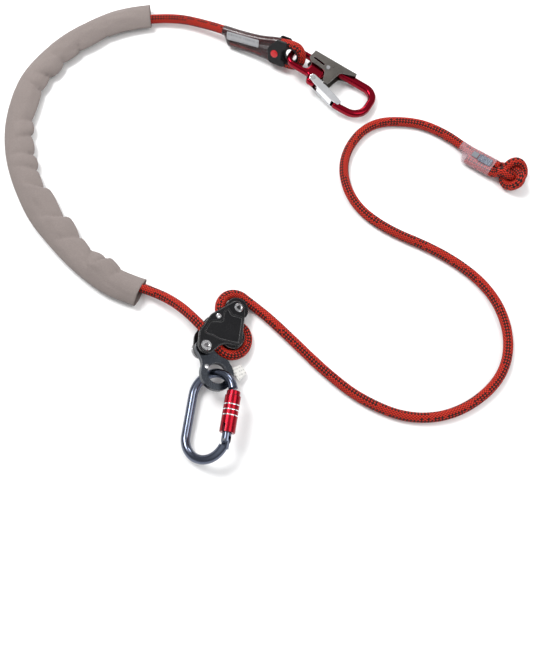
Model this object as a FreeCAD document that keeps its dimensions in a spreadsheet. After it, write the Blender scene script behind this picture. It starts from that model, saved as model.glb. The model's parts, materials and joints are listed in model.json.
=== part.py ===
# Work-positioning lanyard with a rope adjuster, built as an assembly.
# The whole object lies on a flat floor at z = 0.  Units are millimetres and degrees.
import FreeCAD, Part
import Sketcher
import math
import os
from FreeCAD import Placement, Rotation, Vector

doc = FreeCAD.newDocument("positioning_lanyard")
sheet = doc.addObject("Spreadsheet::Sheet", "Sizes")

# Driving dimensions: alias, value, meaning.
DIMENSIONS = [
    ("rope_radius", 5.5, "kernmantle rope, 11 mm"),
    ("rope_play", 0.2, "gap between the rope and what it runs round"),
    ("frame_x", 20.8, "shift that puts the origin under the hardware's middle"),
    ("frame_y", 118.6, "the same along Y"),
    ("device_roll", 25.0, "adjuster, left edge up"),
    ("device_height", 17.9, "middle of the adjuster above the floor"),
    ("plate_gap", 12.6, "inside width of the adjuster"),
    ("plate_thick", 3.2, "one side plate"),
    ("panel_depth", 1.1, "recessed panel of the front plate"),
    ("drum_radius", 13.0, "upper bollard"),
    ("top_rivet_radius", 5.2, "head of the upper rivet"),
    ("pivot_rivet_radius", 6.0, "head of the pivot rivet"),
    ("rivet_shank", 4.0, "radius of both tubular shanks"),
    ("rivet_bore", 2.3, "radius of the open centre"),
    ("stop_pin_radius", 3.1, "head of the small pin"),
    ("arm_thick", 6.0, "forged arm"),
    ("eye_radius", 19.0, "outside of the arm's eye"),
    ("eye_bore", 11.2, "hole of the arm's eye"),
    ("oval_bar", 5.0, "bar radius of the oval carabiner"),
    ("oval_half_width", 25.0, "bar middle to carabiner middle"),
    ("oval_roll", -27.0, "oval carabiner, gate side up"),
    ("oval_half_length", 47.0, "bar middle at the top to carabiner middle"),
    ("gate_pin_radius", 1.5, "both gate hinges"),
    ("lock_radius", 8.4, "locking sleeve"),
    ("lock_bore", 5.3, "bore of the locking sleeve"),
    ("hook_thick", 9.0, "bar of the hook"),
    ("hook_roll", -4.0, "hook, gate side up"),
    ("thimble_roll", 65.0, "thimble, upper strand up"),
    ("thimble_height", 22.1, "thimble's hole above the floor"),
    ("hook_pin_radius", 2.0, "gate pin of the hook"),
    ("lever_pin_radius", 2.0, "lever pin of the hook"),
    ("sheet_metal", 1.2, "stamped gate and lever"),
    ("thimble_bow", 13.8, "rope middle round the thimble"),
    ("thimble_hole", 7.7, "hole of the thimble"),
    ("thimble_mouth", 9.7, "hole of the thimble at its faces"),
    ("thimble_lip", 11.4, "rim beside the rope"),
    ("thimble_half", 5.9, "half thickness of the thimble core"),
    ("cheek_thick", 2.7, "thimble cheek"),
    ("shrink_wall", 1.0, "heat-shrink over the rope"),
    ("guard_half_width", 16.5, "protective sleeve, half of its flat width"),
    ("guard_half_height", 8.8, "protective sleeve, half of its height"),
    ("guard_bore", 6.3, "space for the rope inside it"),
]
for row, (alias, value, meaning) in enumerate(DIMENSIONS, start=1):
    sheet.set("A%d" % row, meaning)
    sheet.set("B%d" % row, str(value))
    sheet.setAlias("B%d" % row, alias)
doc.recompute()


def size(alias):
    """Value of one driving dimension."""
    return float(getattr(sheet, alias))


ROPE = size("rope_radius")
PLAY = size("rope_play")
nodes = []


# ---------------------------------------------------------------- frames
def frame(x, y, z, heading=0.0, pitch=0.0, roll=0.0):
    """Placement turned by roll about X, pitch about Y, then heading about Z."""
    turn = Rotation(Vector(0, 0, 1), heading)
    turn = turn * Rotation(Vector(0, 1, 0), pitch)
    turn = turn * Rotation(Vector(1, 0, 0), roll)
    return Placement(Vector(x - size("frame_x"), y - size("frame_y"), z), turn)


TABLE = frame(0, 0, 0)
DEVICE = frame(-45.8, -8.4, size("device_height"), pitch=size("device_roll"))
THIMBLE = frame(30.0, 348.5, size("thimble_height"), heading=-24.5, pitch=-6.5,
                roll=size("thimble_roll"))
HOOK_END = Vector(-73.5, 11.2, 0)  # middle of the hook's bar in the thimble's hole
hook_turn = Rotation(Vector(0, 0, 1), -30.5) * Rotation(Vector(0, 1, 0), 7.5)
hook_turn = hook_turn * Rotation(Vector(1, 0, 0), size("hook_roll"))
HOOK = Placement(THIMBLE.Base - hook_turn.multVec(HOOK_END), hook_turn)
STOPPER = frame(255.0, 206.0, 8.6, heading=-36.0, pitch=-4.0)

# Adjuster layout, in the adjuster's own plane.
TOP_POST = Vector(12.0, 23.0, 0)
PIVOT = Vector(-24.8, -25.7, 0)
STOP_PIN = Vector(-11.7, 9.4, 0)
LOOP = Vector(6.0, -9.5, 0)  # middle of the rope's lower loop
EYE = Vector(-9.0, -53.0, 0)
ARM_PIN = Vector(-21.5, -47.0, 0)
LOOP_RADIUS = 20.4
POST_WRAP = size("drum_radius") + PLAY + ROPE  # rope middle round the upper bollard
NOSE_RADIUS = 11.0  # rope middle round the friction block's upper corner
LOOP_START = 221.0  # where the rope meets the lower loop
WRAP_END = 60.0  # where it leaves the upper bollard

oval_turn = Rotation(Vector(0, 0, 1), -9.0) * Rotation(Vector(0, 1, 0), size("oval_roll"))
oval_turn = oval_turn * Rotation(Vector(1, 0, 0), 1.5)
OVAL_TOP = Vector(0.0, size("oval_half_length"), 0)
eye_place = DEVICE.multVec(EYE + Vector(0, 1.5, 0))
OVAL = Placement(eye_place + Vector(0, 0, -2.2) - oval_turn.multVec(OVAL_TOP), oval_turn)


def tangent_nose():
    """Middle of the rope's tight turn: inside the lower loop and outside the upper wrap."""
    from_loop = LOOP_RADIUS - NOSE_RADIUS
    from_post = POST_WRAP + NOSE_RADIUS
    between = TOP_POST - LOOP
    gap = between.Length
    along = (from_loop ** 2 - from_post ** 2 + gap ** 2) / (2 * gap)
    aside = math.sqrt(from_loop ** 2 - along ** 2)
    unit = Vector(between).normalize()
    return LOOP + unit * along + Vector(unit.y, -unit.x, 0) * aside


def bearing(start, end):
    """Direction in degrees from one point to another."""
    return math.degrees(math.atan2(end.y - start.y, end.x - start.x))


NOSE = tangent_nose()
LOOP_END = bearing(LOOP, NOSE) + 360.0
NOSE_END = bearing(NOSE, TOP_POST)


# ---------------------------------------------------------------- outlines
def polar(centre, radius, angle):
    """Point at an angle in degrees round a centre."""
    turn = math.radians(angle)
    return centre + Vector(radius * math.cos(turn), radius * math.sin(turn), 0)


def rounded(corners):
    """Closed outline through (x, y, radius) corners: lines joined by tangent arcs."""
    stops = []
    for i, (x, y, radius) in enumerate(corners):
        here = Vector(x, y, 0)
        back = (Vector(corners[i - 1][0], corners[i - 1][1], 0) - here).normalize()
        after = corners[(i + 1) % len(corners)]
        on = (Vector(after[0], after[1], 0) - here).normalize()
        half = back.getAngle(on) / 2
        reach = radius / math.tan(half)
        middle = (back + on).normalize()
        top = here + middle * (radius / math.sin(half) - radius)
        stops.append((here + back * reach, top, here + on * reach, radius))
    curves = []
    for i, (start, top, end, radius) in enumerate(stops):
        if radius:
            curves.append(Part.Arc(start, top, end))
        curves.append(Part.LineSegment(end, stops[(i + 1) % len(stops)][0]))
    return curves


def polygon(points):
    """Closed outline of straight lines."""
    ends = [Vector(x, y, 0) for x, y in points]
    return [Part.LineSegment(a, b) for a, b in zip(ends, ends[1:] + ends[:1])]


def circle(centre, radius):
    return Part.Circle(Vector(centre.x, centre.y, 0), Vector(0, 0, 1), radius)


# ---------------------------------------------------------------- features
def body(label, place):
    """New PartDesign body that becomes one node."""
    made = doc.addObject("PartDesign::Body", label)
    made.Label = label
    made.Placement = place
    nodes.append(made)
    return made


def sketch(owner, curves, role="XY_Plane", lift="0"):
    """Sketch on one of the body's own origin planes, lifted by an expression."""
    made = owner.newObject("Sketcher::SketchObject", owner.Label + "_sketch")
    support = next(f for f in owner.Origin.OriginFeatures if f.Role == role)
    made.AttachmentSupport = (support, [""])
    made.MapMode = "FlatFace"
    made.setExpression(".AttachmentOffset.Base.z", lift)
    made.addGeometry(curves, False)
    return made


def round_sketch(owner, centre, alias, role="XY_Plane", lift="0", extra="0"):
    """Sketch of one circle whose radius comes from the sheet."""
    made = sketch(owner, [circle(centre, size(alias))], role, lift)
    made.addConstraint(Sketcher.Constraint("Radius", 0, size(alias)))
    made.setExpression("Constraints[0]", "Sizes.%s + %s" % (alias, extra))
    return made


def pad(owner, profile, length):
    """Pad along the sketch normal; length is an expression."""
    made = owner.newObject("PartDesign::Pad", owner.Label + "_pad")
    made.Profile = profile
    made.setExpression("Length", length)
    profile.Visibility = False
    return made


def pocket(owner, profile, depth):
    """Pocket into the solid below the sketch; checks that it cuts."""
    doc.recompute()
    before = owner.Shape.Volume
    made = owner.newObject("PartDesign::Pocket", owner.Label + "_pocket")
    made.Profile = profile
    made.setExpression("Length", depth)
    doc.recompute()
    if owner.Shape.Volume > before - 1e-6:
        raise ValueError("pocket in %s cuts nothing" % owner.Label)
    return made


def turned(label, profile, place):
    """Turned piece: (radius, height) points revolved about the body's Z axis."""
    made = body(label, place)
    outline = sketch(made, polygon(profile), role="XZ_Plane")
    spin = made.newObject("PartDesign::Revolution", label + "_turn")
    spin.Profile = outline
    spin.ReferenceAxis = (outline, ["V_Axis"])
    spin.Angle = 360.0
    return made


def soften(owner, feature, radius, wanted, kind="Fillet"):
    """Fillet or chamfer the edges that wanted() picks; takes the largest radius that holds."""
    doc.recompute()
    names = []
    for i, edge in enumerate(feature.Shape.Edges, start=1):
        if wanted(edge):
            names.append("Edge%d" % i)
    for share in (1.0, 0.8, 0.6, 0.4):
        made = owner.newObject("PartDesign::" + kind, owner.Label + "_soft")
        made.Base = (feature, names)
        if kind == "Fillet":
            made.Radius = radius * share
        else:
            made.Size = radius * share
        doc.recompute()
        if "Invalid" not in made.State and "Error" not in made.State and made.Shape.isValid():
            return made
        owner.removeObject(made)
        doc.removeObject(made.Name)
        owner.Tip = feature
        doc.recompute()
    print("left sharp:", owner.Label)
    return feature


def at_height(*heights):
    """Test for edges that lie at one of the given local heights."""
    def test(edge):
        low, high = edge.BoundBox.ZMin, edge.BoundBox.ZMax
        return high - low < 1e-4 and any(abs(low - level) < 1e-3 for level in heights)
    return test


def solid(label, shape, place=Placement()):
    """Part::Feature node with a shape worked out here."""
    made = doc.addObject("Part::Feature", label)
    made.Label = label
    made.Shape = shape
    made.Placement = place.multiply(shape.Placement)
    nodes.append(made)
    return made


# ---------------------------------------------------------------- tubes
def route_wire(points, name):
    """Straight runs joined by tangent arcs; each arc takes 0.45 of its shorter run."""
    edges = []
    radii = []
    start = points[0]
    for before, here, after in zip(points, points[1:], points[2:]):
        back = before - here
        on = after - here
        reach = 0.45 * min(back.Length, on.Length)
        turn = math.pi - back.getAngle(on)
        radius = reach / math.tan(turn / 2)
        back.normalize()
        on.normalize()
        enter = here + back * reach
        leave = here + on * reach
        middle = (back + on).normalize()
        top = here + middle * (radius / math.cos(turn / 2) - radius)
        edges.append(Part.LineSegment(start, enter).toShape())
        edges.append(Part.Arc(enter, top, leave).toShape())
        radii.append(radius)
        start = leave
    edges.append(Part.LineSegment(start, points[-1]).toShape())
    print(name, "arc radii:", [round(r) for r in radii])
    return Part.Wire(edges)


def tube(points, radius, name):
    """Round tube along a route."""
    wire = route_wire(points, name)
    along = points[1] - points[0]
    ring = Part.Wire(Part.Circle(points[0], along, radius).toShape())
    made = wire.makePipeShell([ring], True, False)
    share = made.Volume / (math.pi * radius * radius * wire.Length)
    print(name, "length %.0f mm, volume share %.3f, valid %s" % (wire.Length, share, made.isValid()))
    return made


# ---------------------------------------------------------------- adjuster
PLATE = [(21.9, 41.4, 9.5), (16.4, -22.3, 5), (-6, -20.6, 14),
         (-35.3, -49.5, 9.8), (-32.9, -10, 14), (-20, 10.8, 14)]
PANEL = [(-1, 22.0, 2.5), (4.0, 13.5, 3), (17.2, 12.0, 2.5), (13.2, -18.4, 3), (-9, -16.6, 6),
         (-16.5, -13.5, 3), (-28.0, -11.5, 3), (-20.0, 3, 5), (-6.0, 4.5, 2.5), (-5.0, 15, 3)]


def side_plate(label, low):
    """Adjuster plate whose lower face is at the expression low."""
    made = body(label, DEVICE)
    pad(made, sketch(made, rounded(PLATE), lift=low), "Sizes.plate_thick")
    top = low + " + Sizes.plate_thick"
    for centre in (TOP_POST, PIVOT):
        pocket(made, round_sketch(made, centre, "rivet_shank", lift=top), "Sizes.plate_thick")
    pocket(made, sketch(made, [circle(STOP_PIN, 1.8)], lift=top), "Sizes.plate_thick")
    return made


def front_plate():
    low = "Sizes.plate_gap / 2"
    made = side_plate("adjuster_front_plate", low)
    top = low + " + Sizes.plate_thick"
    panel = pocket(made, sketch(made, rounded(PANEL), lift=top), "Sizes.panel_depth")
    panel.TaperAngle = -40.0
    face = size("plate_gap") / 2 + size("plate_thick")
    outer = at_height(face)
    soften(made, panel, 0.9, lambda e: outer(e) and e.BoundBox.DiagonalLength > 12
           and near_outline(e), "Chamfer")


def near_outline(edge):
    """True for edges on the outside of a side plate."""
    box = edge.BoundBox
    return box.XMax > 16.5 or box.XMin < -30 or box.YMax > 22.5 or box.YMin < -21.5


def back_plate():
    made = side_plate("adjuster_back_plate", "-Sizes.plate_gap / 2 - Sizes.plate_thick")
    back = -size("plate_gap") / 2 - size("plate_thick")
    soften(made, made.Tip, 0.9, lambda e: at_height(back)(e) and e.BoundBox.DiagonalLength > 8
           and near_outline(e), "Chamfer")


def hub(label, centre, radius, low, high, bore, edge=0.5):
    """Turned ring on the adjuster, with bevelled edges, centred on a pin."""
    place = DEVICE.multiply(Placement(Vector(centre.x, centre.y, 0), Rotation()))
    return turned(label, [(bore, low), (radius - edge, low), (radius, low + edge),
                          (radius, high - edge), (radius - edge, high), (bore, high)], place)


def rivet(label, centre, head, front, back):
    """Tubular rivet with a domed head at each end and an open centre."""
    place = DEVICE.multiply(Placement(Vector(centre.x, centre.y, 0), Rotation()))
    bore = size("rivet_bore")
    shank = size("rivet_shank")
    rise = 1.4
    return turned(label, [
        (bore, back - rise + 0.5), (bore + 0.6, back - rise), (head - 0.9, back - rise),
        (head, back - 0.4), (head, back), (shank, back), (shank, front), (head, front),
        (head, front + 0.4), (head - 0.9, front + rise), (bore + 0.6, front + rise),
        (bore, front + rise - 0.5)], place)


def friction_block():
    """Cam-shaped block between the plates that the rope's lower loop bears on."""
    made = body("adjuster_friction_block", DEVICE)
    inner = LOOP_RADIUS - ROPE - PLAY - 0.2
    nose = NOSE_RADIUS - ROPE - PLAY - 0.2
    start = polar(LOOP, inner, LOOP_START)
    middle = polar(LOOP, inner, (LOOP_START + LOOP_END) / 2)
    end = polar(LOOP, inner, LOOP_END)
    top_end = polar(NOSE, nose, NOSE_END)
    inside = [top_end, Vector(2, -1.5, 0), Vector(-6, -8, 0), start]
    curves = [Part.Arc(start, middle, end),
              Part.Arc(end, polar(NOSE, nose, (LOOP_END - 360 + NOSE_END) / 2), top_end)]
    curves += [Part.LineSegment(a, b) for a, b in zip(inside, inside[1:])]
    pad(made, sketch(made, curves, lift="-Sizes.plate_gap / 2"), "Sizes.plate_gap")


def adjuster_arm():
    """Arm that swings on the pivot rivet and ends in the carabiner's eye."""
    made = body("adjuster_arm", DEVICE)
    low = "-Sizes.arm_thick / 2"
    web = [(-33.5, -28.0, 4), (-26.3, -42.5, 14), (-27.5, -56.0, 3), (-9.0, -60.0, 2),
           (7.5, -50.0, 4), (4.5, -38.5, 2), (-6, -32.0, 6), (-19.0, -20.5, 4)]
    pad(made, sketch(made, [circle(Vector(-26, -26, 0), 8.5)], lift=low), "Sizes.arm_thick")
    pad(made, sketch(made, rounded(web), lift=low), "Sizes.arm_thick")
    pad(made, round_sketch(made, EYE, "eye_radius", lift=low), "Sizes.arm_thick")
    top = "Sizes.arm_thick / 2"
    clear = LOOP_RADIUS + ROPE + 1.0
    pocket(made, sketch(made, [circle(LOOP, clear)], lift=top), "Sizes.arm_thick")
    pocket(made, round_sketch(made, EYE, "eye_bore", lift=top), "Sizes.arm_thick")
    pocket(made, sketch(made, [circle(ARM_PIN, 1.9)], lift=top), "Sizes.arm_thick")
    hole = pocket(made, round_sketch(made, PIVOT, "rivet_shank", lift=top, extra="0.15"),
                  "Sizes.arm_thick")
    half = size("arm_thick") / 2
    soften(made, hole, 1.0, lambda e: at_height(half, -half)(e) and e.BoundBox.DiagonalLength > 11)


def adjuster():
    front = size("plate_gap") / 2 + size("plate_thick")
    inner = size("plate_gap") / 2
    front_plate()
    back_plate()
    hub("adjuster_top_bollard", TOP_POST, size("drum_radius"), -inner, inner,
        size("rivet_shank"))
    friction_block()
    rivet("adjuster_top_rivet", TOP_POST, size("top_rivet_radius"), front, -front)
    rivet("adjuster_pivot_rivet", PIVOT, size("pivot_rivet_radius"), front, -front - 4.0)
    hub("adjuster_pivot_disc", PIVOT, 9.4, -front - 4.0, -front, size("rivet_shank"), 1.2)
    half_arm = size("arm_thick") / 2 + 0.3
    hub("adjuster_pivot_spacer_front", PIVOT, 7.0, half_arm, inner, size("rivet_shank"))
    hub("adjuster_pivot_spacer_back", PIVOT, 7.0, -inner, -half_arm, size("rivet_shank"))
    place = DEVICE.multiply(Placement(STOP_PIN, Rotation()))
    head = size("stop_pin_radius")
    turned("adjuster_stop_pin", [
        (0, -front - 0.8), (head - 0.6, -front - 0.8), (head, -front), (1.8, -front),
        (1.8, front), (head, front), (head - 0.3, front + 0.7), (head - 1.4, front + 1.2),
        (0, front + 1.4)], place)
    adjuster_arm()
    half = size("arm_thick") / 2
    turned("adjuster_arm_pin", [(0, -half - 0.5), (2.3, -half - 0.5), (2.6, -half),
                                (1.9, -half), (1.9, half), (2.6, half), (2.3, half + 0.5),
                                (0, half + 0.7)],
           DEVICE.multiply(Placement(ARM_PIN, Rotation())))


# ---------------------------------------------------------------- oval carabiner
GATE_PIN_Y = -25.5  # gate hinge, along the carabiner
NOSE_Y = 30.0  # where the body's nose starts
GATE_TOP = 27.6
LOCK_LOW = -17.5
RINGS = (12.0, 6.3, 0.6)  # bright rings of the locking sleeve
TONGUE = 2.2  # half thickness of the hinge tongue


def oval_frame(y=0.0):
    """Frame at the gate's axis, Z along the gate toward the nose."""
    turn = Rotation(Vector(1, 0, 0), -90)
    return OVAL.multiply(Placement(Vector(size("oval_half_width"), y, 0), turn))


def oval_body():
    """Round bar bent to an oval, open at the gate, with a hinge tongue at the lower end."""
    bar = size("oval_bar")
    half = size("oval_half_width")
    straight = size("oval_half_length") - half
    centre_top = Vector(0, straight, 0)
    centre_low = Vector(0, -straight, 0)
    start_angle = math.degrees(math.asin((NOSE_Y - straight) / half))
    end_angle = -math.degrees(math.asin((-GATE_PIN_Y + bar + 0.4 - straight) / half))
    nose = polar(centre_top, half, start_angle)
    foot = polar(centre_low, half, end_angle)
    line = [Part.Arc(nose, polar(centre_top, half, 95), Vector(-half, straight, 0)),
            Part.LineSegment(Vector(-half, straight, 0), Vector(-half, -straight, 0)),
            Part.Arc(Vector(-half, -straight, 0), polar(centre_low, half, 265), foot)]
    wire = Part.Wire([c.toShape() for c in line])
    along = Vector(-math.sin(math.radians(start_angle)), math.cos(math.radians(start_angle)), 0)
    ring = Part.Wire(Part.Circle(nose, along, bar).toShape())
    made = wire.makePipeShell([ring], True, False)
    pin = Vector(half, GATE_PIN_Y, 0)
    tongue = Part.makeBox(7.0, 9.0, 2 * TONGUE, Vector(half - 3.5, GATE_PIN_Y - 9.0, -TONGUE))
    knuckle = Part.makeCylinder(3.5, 2 * TONGUE, pin - Vector(0, 0, TONGUE))
    bore = Part.makeCylinder(size("gate_pin_radius"), 2 * TONGUE, pin - Vector(0, 0, TONGUE))
    made = made.fuse([tongue, knuckle]).cut(bore).removeSplitter()
    solid("oval_body", made, OVAL)


def oval_gate():
    """Gate tube: ball end at the hinge, slot for the tongue, flat end at the nose."""
    bar = size("oval_bar")
    long = GATE_TOP - GATE_PIN_Y
    stem = Part.makeCylinder(bar, long).fuse(Part.makeSphere(bar)).removeSplitter()
    slot = Part.makeBox(20, 2 * TONGUE + 0.6, 12, Vector(-10, -TONGUE - 0.3, -7.5))
    pin = Part.makeCylinder(size("gate_pin_radius") + 0.2, 4 * bar, Vector(0, -2 * bar, 0),
                            Vector(0, 1, 0))
    solid("oval_gate", stem.cut(slot).cut(pin), oval_frame(GATE_PIN_Y))


def oval_lock():
    """Red locking sleeve with a stepped top, three grooves and a sighting slot."""
    outer = size("lock_radius")
    bore = size("lock_bore")
    low, high = LOCK_LOW, GATE_TOP - 0.3
    profile = [(bore, low), (outer - 0.5, low), (outer, low + 0.5)]
    for level in sorted(RINGS):
        profile += [(outer, level - 0.55), (outer - 0.6, level - 0.55),
                    (outer - 0.6, level + 0.55), (outer, level + 0.55)]
    profile += [(outer, high - 5.5), (outer - 1.2, high - 4.7), (outer - 1.2, high - 0.6),
                (outer - 1.8, high), (bore, high)]
    made = turned("oval_lock_sleeve", profile, oval_frame())
    corners = [(-1.6, low - 1, 0), (1.6, low - 1, 0), (1.6, low + 9.0, 1.5),
               (-1.6, low + 9.0, 1.5)]
    # The slot opens toward the carabiner's front face.
    pocket(made, sketch(made, rounded(corners), role="XZ_Plane", lift="Sizes.lock_radius + 1"),
           "Sizes.lock_radius")
    for i, level in enumerate(RINGS, start=1):
        turned("oval_lock_ring_%d" % i, [
            (outer - 0.6, level - 0.5), (outer + 0.15, level - 0.5), (outer + 0.25, level),
            (outer + 0.15, level + 0.5), (outer - 0.6, level + 0.5)], oval_frame())


def oval():
    oval_body()
    oval_gate()
    reach = size("oval_bar") - 0.3
    pin = Part.makeCylinder(size("gate_pin_radius"), 2 * reach,
                            Vector(size("oval_half_width"), GATE_PIN_Y, -reach))
    solid("oval_gate_pin", pin, OVAL)
    oval_lock()


# ---------------------------------------------------------------- hook
GATE_HINGE = Vector(-34.0, -5.5, 0)
LEVER_PIN = Vector(-25.5, 17.0, 0)
GATE_HEADING = -18.4  # gate direction from its hinge
GATE_PLACE = HOOK.multiply(Placement(GATE_HINGE, Rotation(Vector(0, 0, 1), GATE_HEADING)))
HOOK_BODY = [
    (2.5, -23.8, 2.0), (45.2, -23.0, 24), (45.2, 28.5, 19), (-24, 28.5, 14), (-46, 25.2, 12),
    (-77, 25.2, 12), (-77, -2.8, 12), (-42, -2.8, 4), (-40.5, -12.3, 5),
    (-27.5, -12.3, 6), (-27.5, 0, 3), (-20, 19.5, 6), (36.2, 19.5, 12), (36.2, -14.6, 15),
    (4.5, -17.0, 1.5)]
HOOK_EYE = [(-70, 19.7, 7), (-70, 2.7, 7), (-46.5, 2.7, 5), (-46.5, 19.7, 5)]
LEVER_BACK = 30.0  # outside of the plate over the hook's back
LEVER_CHEEK = [
    (-50.5, LEVER_BACK, 0), (8.6, LEVER_BACK, 0), (8.6, 26.0, 1.0), (-9.0, 20.0, 6),
    (-14.5, -4.5, 2.6), (-21.5, -4.5, 2.6), (-27.0, 11.0, 7), (-47.5, 13.0, 2), (-52.0, 17.0, 2)]


def hook_body():
    """Flat forged hook with a closed eye at its end."""
    thick = size("hook_thick")
    flat = Part.Wire([c.toShape() for c in rounded(HOOK_BODY)])
    made = Part.Face(flat).extrude(Vector(0, 0, thick)).translated(Vector(0, 0, -thick / 2))
    rims = [e for e in made.Edges
            if e.BoundBox.ZLength < 1e-6 and e.BoundBox.XMax > -14.0]
    made = made.makeFillet(3.0, rims)
    hole = Part.Face(Part.Wire([c.toShape() for c in rounded(HOOK_EYE)]))
    hole = hole.extrude(Vector(0, 0, thick)).translated(Vector(0, 0, -thick / 2))
    made = made.cut(hole)
    rims = [e for e in made.Edges
            if e.BoundBox.ZLength < 1e-6 and e.BoundBox.XMax < -44.5]
    made = made.makeFillet(2.4, rims)
    lever_pin = size("lever_pin_radius")
    gate_pin = size("hook_pin_radius")
    made = made.cut(Part.makeCylinder(lever_pin, 30, LEVER_PIN - Vector(0, 0, 15)))
    made = made.cut(Part.makeCylinder(gate_pin, 30, GATE_HINGE - Vector(0, 0, 15)))
    solid("hook_body", made.removeSplitter(), HOOK)


def hook_gate():
    """Stamped channel gate that closes over the hook's nose."""
    wall = size("sheet_metal")
    inside = size("hook_thick") / 2 + 0.35
    outer = inside + wall
    long = 46.5
    side = [(-5.0, -4.4, 4.0), (long - 12, -4.0, 8), (long, -1.4, 2.0), (long, 5.2, 2.0),
            (10, 5.8, 4), (-5.0, 4.8, 4.0)]
    flat = Part.Face(Part.Wire([c.toShape() for c in rounded(side)]))
    block = flat.extrude(Vector(0, 0, 2 * outer)).translated(Vector(0, 0, -outer))
    hollow = Part.makeBox(200, 200, 2 * inside, Vector(-100, -200 + 4.4, -inside))
    clear = Part.makeCylinder(11.0, 2 * inside, Vector(0, 0, -inside))
    bore = Part.makeCylinder(size("hook_pin_radius") + 0.2, 30, Vector(0, 0, -15))
    rims = [e for e in block.Edges if e.BoundBox.ZLength < 1e-6]
    block = block.makeFillet(0.5, rims)
    solid("hook_gate", block.cut(hollow).cut(clear).cut(bore), GATE_PLACE)
    insert = Part.makeBox(25, 3.0, 2 * inside - 0.4, Vector(12, -3.6, -inside + 0.2))
    solid("hook_gate_insert", insert, GATE_PLACE)


def hook_lever():
    """Folded steel lever: two cheeks joined by the plate over the hook's back."""
    wall = size("sheet_metal")
    inside = 6.5
    outer = inside + wall
    cheek = Part.Face(Part.Wire([c.toShape() for c in rounded(LEVER_CHEEK)]))
    block = cheek.extrude(Vector(0, 0, 2 * outer)).translated(Vector(0, 0, -outer))
    hollow = Part.makeBox(200, 200, 2 * inside, Vector(-100, LEVER_BACK - wall - 200, -inside))
    slot = Part.Face(Part.Wire([c.toShape() for c in rounded(
        [(-47.5, 21.4, 1.1), (-47.5, 18.6, 1.1), (-32.0, 16.4, 1.1), (-30.0, 19.0, 1.1)])]))
    slot = slot.extrude(Vector(0, 0, 40)).translated(Vector(0, 0, -20))
    bore = Part.makeCylinder(size("lever_pin_radius") + 0.2, 40, LEVER_PIN - Vector(0, 0, 20))
    solid("hook_lever", block.cut(hollow).cut(slot).cut(bore), HOOK)


def pin(label, centre, radius, half, place):
    """Plain pin with slightly larger heads at both ends."""
    head = radius + 0.9
    at = place.multiply(Placement(centre, Rotation()))
    turned(label, [(0, -half - 0.8), (head - 0.4, -half - 0.8), (head, -half), (radius, -half),
                   (radius, half), (head, half), (head - 0.4, half + 0.8), (0, half + 0.8)], at)


def hook():
    hook_body()
    hook_gate()
    hook_lever()
    pin("hook_gate_pin", GATE_HINGE, size("hook_pin_radius"), 6.1, HOOK)
    pin("hook_lever_pin", LEVER_PIN, size("lever_pin_radius"), 7.8, HOOK)


# ---------------------------------------------------------------- rope
def device(x, y, z=0.0):
    return DEVICE.multVec(Vector(x, y, z))


def thimble(x, y, z=0.0):
    return THIMBLE.multVec(Vector(x, y, z))


def stopper(x, y, z=0.0):
    return STOPPER.multVec(Vector(x, y, z))


def table(x, y, z):
    return TABLE.multVec(Vector(x, y, z))


def round_the(centre, radius, first, last, steps):
    """Route points round an arc in the adjuster's plane or the thimble's plane."""
    step = (last - first) / steps
    reach = radius / math.cos(math.radians(step / 2))
    return [polar(centre, reach, first + step * (i + 0.5)) for i in range(steps)]


SPLICE_ROUTE = [thimble(x, y) for x, y in ((-82, -5.8), (-61, -5.9), (-39, -7.4), (-17, -11.8))]
SPLICE_ROUTE += [thimble(p.x, p.y) for p in
                 round_the(Vector(0, 0, 0), size("thimble_bow"), -85.0, 85.0, 4)]
SPLICE_ROUTE += [thimble(x, y) for x, y in ((-17, 11.8), (-44, 6.6), (-76, 5.8))]
LEAD_ROUTE = [table(*p) for p in (
    (-71.0, 399.1, 14.6), (-119, 417, 9.0), (-185, 410, 8.0), (-248, 381, 8.0), (-292, 333, 8.0),
    (-307, 272, 8.0), (-300, 205, 8.0), (-275, 147, 8.0), (-235, 95, 8.0), (-185, 58, 8.0),
    (-132, 40, 11.0), (-100, 21, 20.0))]
DEVICE_ROUTE = [device(x, y) for x, y in ((-30.5, 1.6), (-17.0, -12.6))]
DEVICE_ROUTE += [device(p.x, p.y) for p in
                 round_the(LOOP, LOOP_RADIUS, LOOP_START, LOOP_END, 4)
                 + round_the(NOSE, NOSE_RADIUS, LOOP_END - 360, NOSE_END, 2)
                 + round_the(TOP_POST, POST_WRAP, NOSE_END + 180, WRAP_END, 5)]
DEVICE_ROUTE += [device(28.4, 34.6, 0.6)]
TAIL_ROUTE = [table(*p) for p in (
    (2, 8, 6.6), (31, -21, 5.8), (62, -53, 5.7), (101, -86, 5.7), (153, -108, 5.7),
    (207, -101, 5.7), (256, -63, 5.7), (270, -12, 5.7), (253, 43, 5.7), (204, 87, 5.7),
    (131, 121, 5.7), (95, 160, 5.7), (89, 215, 5.7), (124, 263, 5.7), (180, 264, 5.7),
    (215, 246, 6.8))]
TAIL_ROUTE += [stopper(x, y) for x, y in ((-20, 5.2), (2, 6.2), (21, 5.8))]
FOLD_ROUTE = [stopper(x, y) for x, y in ((-16.5, -5.9), (2, -6.1), (22, -5.7))]
ROPE_ROUTE = SPLICE_ROUTE + LEAD_ROUTE + DEVICE_ROUTE + TAIL_ROUTE
GUARD_ROUTE = [table(x, y, 9.1) for x, y in (
    (-152, 421), (-210, 404), (-257, 371), (-290, 322), (-302, 265), (-296, 207), (-273, 153),
    (-238, 106), (-194, 67), (-147, 39))]


def rope():
    solid("rope", tube(ROPE_ROUTE, ROPE, "rope"))
    solid("rope_folded_end", tube(FOLD_ROUTE, ROPE, "folded end"))
    print("route points in the row frame, mm:")
    for point in ROPE_ROUTE:
        print("  (%.1f, %.1f, %.1f)" % tuple(point))


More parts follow.
